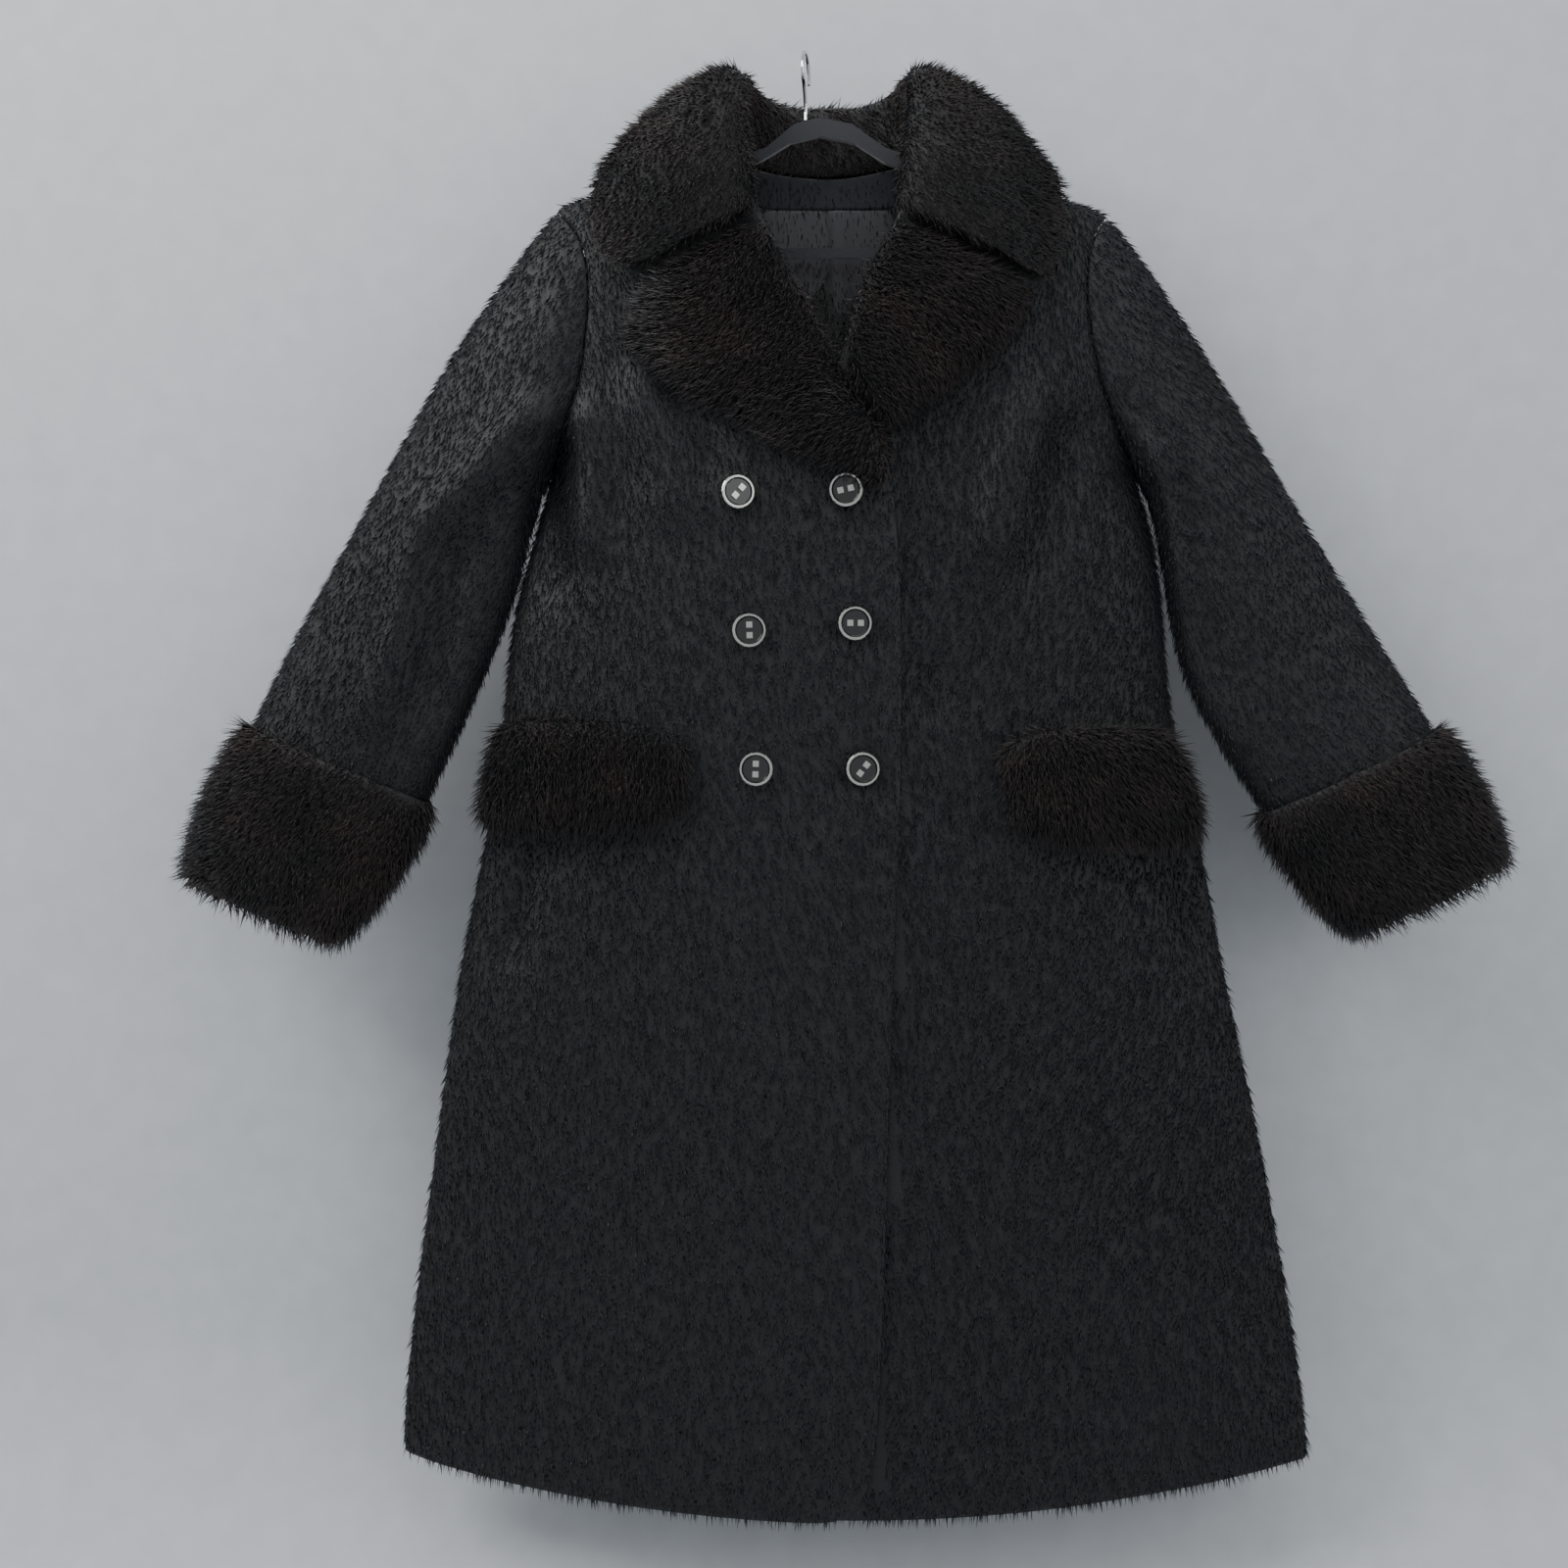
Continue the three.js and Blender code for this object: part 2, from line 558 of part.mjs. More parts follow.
function armholeRing(frontRows, rearRows, sign) {
  const shift = new THREE.Vector3(sign * ARM_GAP, 0, 0);
  const pick = (list) => Array.from({ length: ARM_STEPS + 1 }, (_, j) => list[rows - j].clone().add(shift));
  const front = pick(frontRows);
  const rear = pick(rearRows);
  for (const end of [0, ARM_STEPS]) {
    front[end].lerp(rear[end], 0.5);
    rear[end].copy(front[end]);
  }
  return ringOrder(front, rear, sign);
}

function sleeve(name, table, side, sign, edges) {
  const tip = ARMHOLE[ARMHOLE.length - 1][side];
  const armhole = {
    side,
    top: { x: tip, z: ridge(tip) },
    low: { x: ARMHOLE[0][side], z: UNDERARM_Z },
  };
  const halfway = (a, b) => Object.fromEntries(Object.keys(a).map((key) => [key, (a[key] + b[key]) / 2]));
  const stations = [];
  table.forEach((row, k) => {
    if (k > CUFF_FROM) stations.push(halfway(table[k - 1], row));
    stations.push(row);
  });
  const rings = stations.map((row) => sleeveRing(row, armhole, sign)).reverse();
  rings.push(armholeRing(edges.frontOuter, edges.rearOuter, sign));
  const outer = panel(rings);
  const inner = inwards(outer, FUR_CLOTH - 1, { round: true });
  const last = armholeRing(edges.frontInner, edges.rearInner, sign);
  inner.forEach((line, i) => line[line.length - 1].copy(last[i]));
  wall(name, outer, inner, COAT, { round: true });
  return outer;
}

const sleeveRight = sleeve('sleeve_right', SLEEVE_RIGHT, 'right', -1, {
  frontOuter: rightFront[0],
  frontInner: rightFrontInner[0],
  rearOuter: back[backColumns],
  rearInner: backInner[backColumns],
});
const sleeveLeft = sleeve('sleeve_left', SLEEVE_LEFT, 'left', 1, {
  frontOuter: leftFront[FRONT_STEPS],
  frontInner: leftFrontInner[FRONT_STEPS],
  rearOuter: back[0],
  rearInner: backInner[0],
});

// ---- cuffs, built from the sleeve's own rings moved out ----

const CUFF_ROUND = [0.95, 1.1, 1.15, 1, 0.55];

function cuff(name, sleeveGrid) {
  const count = CUFF_ROUND.length;
  const out = normals(sleeveGrid, true);
  const inner = sleeveGrid.map((line, i) => {
    const points = line.slice(0, count).map((p, j) => p.clone().addScaledVector(out[i][j], REST_GAP));
    const along = new THREE.Vector3().subVectors(line[0], line[1]).setY(0).normalize();
    points[0].addScaledVector(along, CUFF_LIP);
    return points;
  });
  const outer = inner.map((line, i) => line.map((p, j) => p.clone()
    .addScaledVector(out[i][j], CUFF_THICK * CUFF_ROUND[j])));
  wall(name, outer, inner, TRIM, { round: true });
}

cuff('cuff_right', sleeveRight);
cuff('cuff_left', sleeveLeft);

// ---- pieces laid on a panel: each grid is pushed forward until its facets clear the panel's ----

// The forward (-Y) surface of a faceted sheet at (x, z), or null beside it.
function facetY(sheet, x, z) {
  for (let i = 0; i < sheet.length - 1; i += 1) {
    for (let j = 0; j < sheet[0].length - 1; j += 1) {
      const [a, b, c, d] = [sheet[i][j], sheet[i + 1][j], sheet[i + 1][j + 1], sheet[i][j + 1]];
      for (const [p, q, r] of [[a, b, c], [a, c, d]]) {
        const area = (q.x - p.x) * (r.z - p.z) - (r.x - p.x) * (q.z - p.z);
        const u = ((x - p.x) * (r.z - p.z) - (r.x - p.x) * (z - p.z)) / area;
        const v = ((q.x - p.x) * (z - p.z) - (x - p.x) * (q.z - p.z)) / area;
        if (u >= 0 && v >= 0 && u + v <= 1) return p.y + u * (q.y - p.y) + v * (r.y - p.y);
      }
    }
  }
  return null;
}

const LAY_SAMPLES = 4;

function layOn(grid, sheet, gap) {
  const push = grid.map((line) => line.map(() => 0));
  for (let i = 0; i < grid.length - 1; i += 1) {
    for (let j = 0; j < grid[0].length - 1; j += 1) {
      const corners = [[i, j], [i + 1, j], [i, j + 1], [i + 1, j + 1]];
      const [a, b, c, d] = corners.map(([p, q]) => grid[p][q]);
      let need = 0;
      for (let s = 0; s <= LAY_SAMPLES; s += 1) {
        for (let t = 0; t <= LAY_SAMPLES; t += 1) {
          const low = new THREE.Vector3().lerpVectors(a, b, s / LAY_SAMPLES);
          const high = new THREE.Vector3().lerpVectors(c, d, s / LAY_SAMPLES);
          const p = low.lerp(high, t / LAY_SAMPLES);
          const under = facetY(sheet, p.x, p.z);
          if (under !== null) need = Math.max(need, p.y - under + gap);
        }
      }
      corners.forEach(([p, q]) => { push[p][q] = Math.max(push[p][q], need); });
    }
  }
  return grid.map((line, i) => line.map((p, j) => p.clone().setY(p.y - push[i][j])));
}

const forward = (grid, thick) => grid.map((line, i) => line.map((p, j) => p.clone()
  .setY(p.y - thick(i / (grid.length - 1), j / (line.length - 1)))));

// A pillow's height: low at the rim, full in the middle.
const pillow = (low, high) => (u, v) => low + (high - low)
  * Math.sqrt((1 - (2 * u - 1) ** 4) * (1 - (2 * v - 1) ** 4));

// ---- lapels ----

function lapel(name, table, sign, sheet) {
  const rowsUp = table.map((row) => {
    const line = [];
    for (let i = 0; i <= LAPEL_STEPS; i += 1) {
      const s = i / LAPEL_STEPS;
      const x = lerp(row.edgeX, row.rollX, s);
      const z = lerp(row.edgeZ, row.rollZ, s);
      line.push(new THREE.Vector3(x, bodyY(-1, x, z) - REST_GAP, z));
    }
    return sign < 0 ? line : line.reverse();
  });
  const inner = layOn(panel(rowsUp), sheet, REST_GAP);
  const outer = forward(inner, pillow(LAPEL_EDGE, LAPEL_CROWN));
  wall(name, outer, inner, TRIM);
}

lapel('lapel_right', LAPEL_RIGHT, -1, rightFront);
lapel('lapel_left', LAPEL_LEFT, 1, leftFront);

// ---- collar: stand, roll and fall as one wall ----

function collarSection(row, sign, wing) {
  const side = (x) => (sign < 0 ? x : 2 * COLLAR_CENTRE - x);
  const at = (key, out, drop) => new THREE.Vector3(
    side(row[`${key}X`]) + sign * out,
    row[`${key}Y`],
    row[`${key}Z`] - drop,
  );
  const { wide, drop } = wing;
  return [at('seam', 0, 0), at('fold', 0, 0), at('mid', wide / 2, drop / 2), at('edge', wide, drop)];
}

function collar() {
  const none = { wide: 0, drop: 0 };
  const rightHalf = COLLAR.map((row) => collarSection(row, -1, none));
  const leftHalf = COLLAR.slice(0, -1).map((row, k) => collarSection(row, 1, LEFT_WING[k] ?? none));
  const sections = [...rightHalf, ...leftHalf.reverse()];
  const lines = sections.map((points) => new THREE.CatmullRomCurve3(points, false, 'centripetal')
    .getSpacedPoints(COLLAR_STEPS));
  const count = 2 * (sections.length - 1);
  const outer = Array.from({ length: count + 1 }, () => []);
  for (let j = 0; j <= COLLAR_STEPS; j += 1) {
    const curve = new THREE.CatmullRomCurve3(lines.map((line) => line[j]), false, 'centripetal');
    for (let i = 0; i <= count; i += 1) outer[i].push(curve.getPoint(i / count));
  }
  wall('collar', outer, inwards(outer, COLLAR_THICK), TRIM);
}

collar();

// ---- pocket flaps ----

function flap({ name, from, to, top, bottom }) {
  const points = [];
  for (let i = 0; i <= FLAP_STEPS; i += 1) {
    const s = i / FLAP_STEPS;
    const turn = lerp(from, to, s);
    const tall = 0.55 + 0.45 * (1 - (2 * s - 1) ** 6);
    const line = [];
    for (let j = 0; j <= FLAP_ROWS; j += 1) {
      const middle = (top + bottom) / 2;
      const z = middle + (top - bottom) * tall * (j / FLAP_ROWS - 0.5);
      const x = fromTurn(turn, z);
      line.push(new THREE.Vector3(x, bodyY(-1, x, z), z));
    }
    points.push(line);
  }
  const out = normals(points, false);
  const lift = (height) => points.map((line, i) => line.map((p, j) => p.clone()
    .addScaledVector(out[i][j], height(i / FLAP_STEPS, j / FLAP_ROWS))));
  const crown = pillow(FLAP_EDGE, FLAP_CROWN);
  wall(name, lift((u, v) => FLAP_GAP + crown(u, v)), lift(() => FLAP_GAP), TRIM);
}

FLAPS.forEach(flap);

// ---- back neck facing and lining, laid inside the back ----

function inside(name, thick, colour, low, top, columns, count) {
  const points = [];
  for (let i = 0; i <= columns; i += 1) {
    const x = lerp(FACING_RIGHT_X, FACING_LEFT_X, i / columns);
    const line = [];
    for (let j = 0; j <= count; j += 1) {
      const z = lerp(low, top(x), j / count);
      line.push(new THREE.Vector3(x, bodyY(1, x, z) - FUR_CLOTH, z));
    }
    points.push(line);
  }
  const behind = [...backInner].reverse();
  const rear = layOn(points, behind, REST_GAP);
  wall(name, forward(rear, () => thick), rear, colour, { roughness: 0.6 });
}

inside('back_facing', LINING_THICK, 0x14151a, FACING_LOW, (x) => neckSeam(x) - 2, 8, 3);
inside('back_lining', LINING_THICK, 0x323135, LINING_LOW, () => FACING_LOW - SEAM_GAP, 8, 8);

// ---- buttons ----

const BLACK_GLOSS = 0x0b0b0d;
const SILVER = 0xc4c4be;
const FLOCK = 0x2c2f36;

function add(name, geometry, colour, roughness, metalness, parent) {
  const mesh = new THREE.Mesh(geometry, new THREE.MeshStandardMaterial({ color: colour, roughness, metalness }));
  mesh.name = name;
  parent.add(mesh);
  return mesh;
}

// Turned shapes: x is the radius, y runs back from the button's face.
const turned = (profile) => new THREE.LatheGeometry(profile.map(([r, y]) => new THREE.Vector2(r, y)), 20);

BUTTONS.forEach(({ x, z, studs, tip }, k) => {
  const whole = new THREE.Group();
  const lean = Math.sin(tip * THREE.MathUtils.DEG2RAD);
  const round = Array.from({ length: 12 }, (_, q) => (q * Math.PI) / 6);
  const seats = round.map((angle) => [BUTTON_R * Math.cos(angle), BUTTON_R * Math.sin(angle)])
    .map(([dx, dz]) => facetY(rightFront, x + dx, z + dz) - dx * lean);
  const seat = Math.min(facetY(rightFront, x, z), ...seats) - REST_GAP;
  whole.position.set(x, seat, z);
  whole.rotation.set(0, 0, tip * THREE.MathUtils.DEG2RAD);
  const name = `button_${k + 1}`;
  const face = -BUTTON_THICK;
  const disc = [[0, 0], [BUTTON_R - 1, 0], [BUTTON_R, -1], [BUTTON_R, face + 0.8], [BUTTON_R - 1, face], [0, face]];
  add(`${name}_disc`, turned(disc.reverse()), BLACK_GLOSS, 0.15, 0, whole);
  const low = BUTTON_R + SEAM_GAP;
  const high = low + RIM_WIDTH;
  const front = face - 0.4;
  const rim = [[low, front], [low, front + RIM_HIGH], [high, front + RIM_HIGH], [high, front + 0.6], [high - 0.6, front]];
  add(`${name}_rim`, turned([...rim, rim[0]].reverse()), SILVER, 0.2, 1, whole);
  [-1, 1].forEach((way) => {
    const stud = add(`${name}_stud_${way < 0 ? 'a' : 'b'}`, new THREE.BoxGeometry(STUD, STUD_HIGH, STUD), SILVER,
      0.25, 1, whole);
    const angle = studs * THREE.MathUtils.DEG2RAD;
    stud.position.set(way * (STUD_APART / 2) * Math.cos(angle), face - SEAM_GAP - STUD_HIGH / 2,
      way * (STUD_APART / 2) * Math.sin(angle));
    stud.rotation.y = -angle;
  });
  group.add(whole);
});

// ---- hanger ----

// A flat piece cut to an outline in the XZ plane.
function flatPiece(name, outline) {
  const shape = new THREE.Shape(outline.map(([x, z]) => new THREE.Vector2(x, z)));
  const geometry = new THREE.ExtrudeGeometry(shape, { depth: HANGER_THICK, bevelEnabled: false });
  geometry.rotateX(Math.PI / 2);
  geometry.translate(0, HANGER_THICK / 2, 0);
  add(name, geometry, FLOCK, 0.95, 0, group);
}

function hangerBody() {
  const armTop = (x) => ridge(x) - FUR_CLOTH * 1.06 - HANGER_CLEAR;
  const armLow = (x) => armTop(x) - ARM_DEEP;
  const right = HANGER_TIP_RIGHT;
  const left = HANGER_TIP_LEFT;
  flatPiece('hanger_body', [
    [right, armTop(right)],
    [NECK_RIGHT_X, armTop(NECK_RIGHT_X)],
    [-31, -73], [-9, -54.5], [10.5, -49.5], [36, -54.5], [62, -73],
    [NECK_LEFT_X, armTop(NECK_LEFT_X)],
    [left, armTop(left)],
    [left, armLow(left)],
    [NECK_LEFT_X, armLow(NECK_LEFT_X)],
    [62, -85], [38, -69.5], [10.5, -64], [-12, -69.5], [-34, -83],
    [NECK_RIGHT_X, armLow(NECK_RIGHT_X)],
    [right, armLow(right)],
  ]);
  const barLow = BAR_TOP - BAR_DEEP;
  const under = (x) => armLow(x) - SEAM_GAP;
  flatPiece('hanger_bar', [
    [right, under(right)],
    [right + BAR_DEEP, under(right + BAR_DEEP)],
    [right + 2.5 * BAR_DEEP, BAR_TOP],
    [left - 2.5 * BAR_DEEP, BAR_TOP],
    [left - BAR_DEEP, under(left - BAR_DEEP)],
    [left, under(left)],
    [left - 2 * BAR_DEEP, barLow],
    [right + 2 * BAR_DEEP, barLow],
  ]);
}

// The wire hook stands nearly edge-on to the front, its open end towards the wall.
function hangerHook() {
  const turn = HOOK_TURN * THREE.MathUtils.DEG2RAD;
  const at = (across, z) => new THREE.Vector3(across * Math.cos(turn), across * Math.sin(turn), z);
  const points = [at(0, -50.9), at(0, -42)];
  for (let k = 0; k <= 12; k += 1) {
    const angle = ((235 - 21 * k) * Math.PI) / 180;
    points.push(at(HOOK_R * Math.cos(angle), HOOK_R * Math.sin(angle) - HOOK_R + WIRE_R));
  }
  const path = new THREE.CatmullRomCurve3(points, false, 'centripetal');
  const section = new THREE.Shape().absarc(0, 0, WIRE_R, 0, 2 * Math.PI);
  const geometry = new THREE.ExtrudeGeometry(section, { extrudePath: path, steps: 44, curveSegments: 4 });
  add('hanger_hook', geometry, 0xd0d2d4, 0.15, 1, group);
}

hangerBody();
hangerHook();

export default group;
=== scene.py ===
"""A double-breasted faux fur coat on a flocked hanger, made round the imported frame."""

import json
import math

import bpy
import bmesh
from bpy.props import FloatProperty, IntProperty, PointerProperty, StringProperty
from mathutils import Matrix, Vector, noise
from mathutils.bvhtree import BVHTree

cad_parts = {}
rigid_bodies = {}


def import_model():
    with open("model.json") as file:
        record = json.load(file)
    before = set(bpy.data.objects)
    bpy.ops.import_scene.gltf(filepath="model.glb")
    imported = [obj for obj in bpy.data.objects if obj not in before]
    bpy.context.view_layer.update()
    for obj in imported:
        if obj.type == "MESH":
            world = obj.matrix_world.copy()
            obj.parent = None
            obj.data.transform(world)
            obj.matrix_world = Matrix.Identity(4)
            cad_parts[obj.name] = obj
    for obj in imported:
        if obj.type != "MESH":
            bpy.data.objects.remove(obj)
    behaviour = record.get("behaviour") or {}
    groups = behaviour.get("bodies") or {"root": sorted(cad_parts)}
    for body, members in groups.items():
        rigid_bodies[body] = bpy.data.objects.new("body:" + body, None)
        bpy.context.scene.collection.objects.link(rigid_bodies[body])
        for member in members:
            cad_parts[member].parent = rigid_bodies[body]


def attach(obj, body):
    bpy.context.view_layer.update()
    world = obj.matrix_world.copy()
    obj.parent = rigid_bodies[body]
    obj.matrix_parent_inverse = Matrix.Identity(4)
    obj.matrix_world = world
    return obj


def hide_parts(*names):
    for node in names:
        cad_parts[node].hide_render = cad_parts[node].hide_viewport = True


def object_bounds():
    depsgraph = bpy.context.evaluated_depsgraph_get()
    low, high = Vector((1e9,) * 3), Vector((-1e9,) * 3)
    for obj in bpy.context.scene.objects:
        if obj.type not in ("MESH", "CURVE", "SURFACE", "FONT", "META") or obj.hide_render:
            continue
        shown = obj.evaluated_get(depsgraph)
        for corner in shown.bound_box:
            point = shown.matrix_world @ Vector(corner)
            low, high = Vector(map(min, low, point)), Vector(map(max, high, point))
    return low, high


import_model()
CAD_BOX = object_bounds()

bl_info = {
    "name": "Faux fur coat",
    "version": (1, 0, 0),
    "blender": (4, 5, 0),
    "location": "View3D > Sidebar > Coat",
    "description": "Builds a double-breasted faux fur coat on its hanger",
    "category": "Object",
}

MM = 0.001
BODY = ("front_right", "front_left", "back")
SLEEVES = ("sleeve_right", "sleeve_left")
CUFFS = ("cuff_right", "cuff_left")
LAPELS = ("lapel_right", "lapel_left")
FLAPS = ("flap_right", "flap_left")
TRIM = ("collar", *LAPELS, *FLAPS, *CUFFS)

# What can cover a piece's cloth: nodes and how near they lie, in metres. Covered cloth has no pile.
COVERS = {
    "front_right": ((BODY, 0.09), (("lapel_right", "collar", "flap_right"), 0.012)),
    "front_left": ((BODY, 0.09), (("lapel_left", "collar", "flap_left"), 0.012)),
    "back": ((BODY, 0.09), (("collar",), 0.012)),
    "sleeve_right": ((("sleeve_right",), 0.09), (("cuff_right",), 0.012)),
    "sleeve_left": ((("sleeve_left",), 0.09), (("cuff_left",), 0.012)),
    "cuff_right": ((("cuff_right",), 0.09), (("sleeve_right",), 0.012)),
    "cuff_left": ((("cuff_left",), 0.09), (("sleeve_left",), 0.012)),
    "collar": ((("collar",), 0.05), (BODY, 0.025)),
    "lapel_right": (((*BODY, "collar"), 0.02),),
    "lapel_left": (((*BODY, "collar"), 0.02),),
    "flap_right": ((BODY, 0.02),),
    "flap_left": ((BODY, 0.02),),
}

# The collar stands proud of the coat, so its pile is a shorter share of the trim's.
COLLAR_PILE_SHARE = 0.72

# How far off its own cloth a search for covers starts, in metres.
CLEAR_OF_CLOTH = 0.0025

# Hairs on each piece.
HAIRS = {
    "front_right": 34000, "front_left": 34000, "back": 36000,
    "sleeve_right": 15000, "sleeve_left": 15000,
    "collar": 19000, "lapel_right": 7000, "lapel_left": 5500, "flap_right": 4500, "flap_left": 4500,
    "cuff_right": 9500, "cuff_left": 9500,
}

CREASE_STRENGTH = 1.25
CREASE_WANDER = 0.3
SLOW_WAVE = 1.6

# The sleeve heads are moved towards the body, so that less light shows through the armhole seam.
# Sizes in millimetres: how low, how far out, over what width it fades, and how far they move.
SLEEVE_HEAD_LOW = -300
SLEEVE_HEAD_X = 205
SLEEVE_HEAD_FADE = 60
SLEEVE_HEAD_SHIFT = 2.2

# Creases pressed into the cloth: a row for each, from one end to the other, in millimetres.
# wide is its half width, and face the side that it is on, -1 in front and 1 behind. deep says how
# far it sinks, or rises if negative, before CREASE_STRENGTH multiplies it.
CREASES = [
    dict(on="sleeve_right", x0=-281, z0=-365, x1=-200, z1=-275, wide=20, deep=-9, face=-1),
    dict(on="sleeve_right", x0=-290, z0=-345, x1=-330, z1=-525, wide=16, deep=-7, face=-1),
    dict(on="sleeve_right", x0=-262, z0=-380, x1=-296, z1=-520, wide=13, deep=6, face=-1),
    dict(on="front_right", x0=-172, z0=-275, x1=-168, z1=-400, wide=16, deep=-9, face=-1),
    dict(on="front_right", x0=-190, z0=-300, x1=-196, z1=-430, wide=13, deep=7, face=-1),
    dict(on="front_right", x0=-133, z0=-255, x1=-90, z1=-370, wide=22, deep=-6, face=-1),
    dict(on="front_right", x0=-110, z0=-250, x1=-66, z1=-350, wide=15, deep=5, face=-1),
    dict(on="front_right", x0=-207, z0=-603, x1=-233, z1=-717, wide=14, deep=6, face=-1),
    dict(on="front_right", x0=20, z0=-560, x1=68, z1=-570, wide=10, deep=4, face=-1),
    dict(on="front_right", x0=14, z0=-452, x1=66, z1=-458, wide=9, deep=3, face=-1),
    dict(on="front_left", x0=179, z0=-262, x1=135, z1=-407, wide=22, deep=-7, face=-1),
    dict(on="front_left", x0=205, z0=-280, x1=172, z1=-420, wide=15, deep=5, face=-1),
    dict(on="front_left", x0=100, z0=-580, x1=107, z1=-611, wide=12, deep=4, face=-1),
    dict(on="front_left", x0=284, z0=-623, x1=308, z1=-710, wide=14, deep=6, face=-1),
    dict(on="front_left", x0=93, z0=-470, x1=96, z1=-520, wide=12, deep=4, face=-1),
    dict(on="sleeve_left", x0=259, z0=-300, x1=281, z1=-440, wide=16, deep=-7, face=-1),
    dict(on="sleeve_left", x0=285, z0=-330, x1=330, z1=-520, wide=15, deep=5, face=-1),
    dict(on="back", x0=-150, z0=-230, x1=-100, z1=-400, wide=24, deep=6, face=1),
    dict(on="back", x0=175, z0=-240, x1=130, z1=-420, wide=26, deep=5, face=1),
    dict(on="back", x0=20, z0=-180, x1=24, z1=-520, wide=22, deep=4, face=1),
    dict(on="back", x0=-60, z0=-640, x1=-95, z1=-1080, wide=38, deep=6, face=1),
    dict(on="back", x0=130, z0=-700, x1=170, z1=-1090, wide=34, deep=6, face=1),
    dict(on="sleeve_right", x0=-255, z0=-330, x1=-330, z1=-480, wide=16, deep=5, face=1),
    dict(on="sleeve_left", x0=285, z0=-330, x1=350, z1=-470, wide=16, deep=5, face=1),
]


class CoatSettings(bpy.types.PropertyGroup):
    """Sizes and colours of the coat that a user would change."""

    body_pile: FloatProperty(
        name="Body pile", description="Length of the body's hairs", default=0.0085, unit="LENGTH")
    trim_pile: FloatProperty(
        name="Trim pile", description="Length of the collar's and cuffs' hairs",
        default=0.015, unit="LENGTH")
    hair_width: FloatProperty(
        name="Hair width", description="Width of a lock of hairs at its root",
        default=0.0011, unit="LENGTH")
    body_colour: StringProperty(
        name="Body colour", description="sRGB hex of the body fur", default="050609")
    trim_colour: StringProperty(
        name="Trim colour", description="sRGB hex of the trim fur", default="120e0d")
    trim_tip: StringProperty(
        name="Trim tips", description="sRGB hex of the trim's brown tips", default="3f302a")
    lining_colour: StringProperty(
        name="Lining", description="sRGB hex of the satin lining", default="3a393d")
    seed: IntProperty(name="Seed", description="Seed of everything random", default=7)
    lens_distance: FloatProperty(
        name="Camera distance", description="From the camera to the coat", default=1.36, unit="LENGTH")


def settings():
    return bpy.context.scene.coat


# ---- small helpers ----


def srgb(text):
    """A linear colour from an sRGB hex value."""
    parts = [int(text[k:k + 2], 16) / 255 for k in (0, 2, 4)]
    return [c / 12.92 if c <= 0.04045 else ((c + 0.055) / 1.055) ** 2.4 for c in parts] + [1.0]


def add_node(tree, kind, inputs=None, **values):
    """Adds a node; inputs maps a socket's name or number to a value or to another node's output."""
    made = tree.nodes.new(kind)
    for key, value in values.items():
        setattr(made, key, value)
    for key, value in (inputs or {}).items():
        socket = made.inputs[key]
        if isinstance(value, bpy.types.NodeSocket):
            tree.links.new(value, socket)
        else:
            socket.default_value = value
    return made


def smooth(low, high, x):
    t = min(1.0, max(0.0, (x - low) / (high - low)))
    return t * t * (3 - 2 * t)


def link(obj):
    bpy.context.scene.collection.objects.link(obj)
    return obj


def node_copy(name):
    """A merged copy of a CAD node's mesh, its triangle pairs joined to four-sided faces."""
    mesh = bpy.data.meshes.new(name + "_cloth")
    bm = bmesh.new()
    bm.from_mesh(bpy.data.objects[name].data)
    bmesh.ops.remove_doubles(bm, verts=bm.verts, dist=0.00002)
    bmesh.ops.join_triangles(
        bm, faces=bm.faces,
        angle_face_threshold=math.radians(40), angle_shape_threshold=math.radians(60))
    bm.to_mesh(mesh)
    bm.free()
    mesh.materials.clear()
    return link(bpy.data.objects.new(name + "_cloth", mesh))


def apply_modifiers(obj):
    graph = bpy.context.evaluated_depsgraph_get()
    mesh = bpy.data.meshes.new_from_object(
        obj.evaluated_get(graph), preserve_all_data_layers=True, depsgraph=graph)
    obj.modifiers.clear()
    obj.data = mesh
    return obj


def refine(obj, levels):
    modifier = obj.modifiers.new("Refine", "SUBSURF")
    modifier.levels = levels
    modifier.render_levels = levels
    apply_modifiers(obj)
    obj.data.polygons.foreach_set("use_smooth", [True] * len(obj.data.polygons))
    return obj


def node_tree_of(names):
    """A search tree of some CAD nodes' triangles."""
    points = []
    triangles = []
    for name in names:
        mesh = bpy.data.objects[name].data
        base = len(points)
        points.extend(v.co.copy() for v in mesh.vertices)
        mesh.calc_loop_triangles()
        triangles.extend([base + k for k in t.vertices] for t in mesh.loop_triangles)
    return BVHTree.FromPolygons(points, triangles)


# ---- form ----


